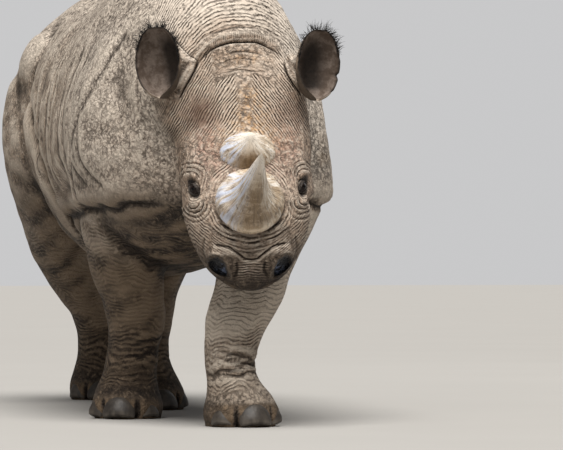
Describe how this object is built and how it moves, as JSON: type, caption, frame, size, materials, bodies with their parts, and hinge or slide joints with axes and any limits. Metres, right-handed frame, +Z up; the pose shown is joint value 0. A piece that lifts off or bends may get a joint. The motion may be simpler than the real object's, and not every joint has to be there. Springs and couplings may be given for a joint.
{
  "type": "life-size black rhinoceros model",
  "caption": "Walking hook-lipped rhinoceros with its head low, a curved front horn, a stubby rear horn, cupped ears and a tufted tail.",
  "frame": {"origin": "on the ground, under the middle of the whole animal's box", "axes": "+Z up, -Y the way the animal walks, +X its left side"},
  "size_m": [0.783, 2.8268, 1.4271],
  "materials": {
    "rhino_hide": "dusty, rough, finely pebbled",
    "horn_keratin": "worn, fibrous",
    "toenail": "matt, scuffed",
    "eye_dark": "wet",
    "tail_bristle": "coarse hair"
  },
  "bodies": {
    "root": {"front_horn": "horn_keratin", "head": "rhino_hide", "left_ear": "rhino_hide", "left_eye": "eye_dark", "left_fore_left_toenail": "toenail", "left_fore_middle_toenail": "toenail", "left_fore_right_toenail": "toenail", "left_foreleg": "rhino_hide", "left_hind_left_toenail": "toenail", "left_hind_leg": "rhino_hide", "left_hind_middle_toenail": "toenail", "left_hind_right_toenail": "toenail", "neck": "rhino_hide", "rear_horn": "horn_keratin", "right_ear": "rhino_hide", "right_eye": "eye_dark", "right_fore_left_toenail": "toenail", "right_fore_middle_toenail": "toenail", "right_fore_right_toenail": "toenail", "right_foreleg": "rhino_hide", "right_hind_left_toenail": "toenail", "right_hind_leg": "rhino_hide", "right_hind_middle_toenail": "toenail", "right_hind_right_toenail": "toenail", "tail": "rhino_hide", "tail_tuft": "tail_bristle", "trunk": "rhino_hide"}
  },
  "joints": []
}
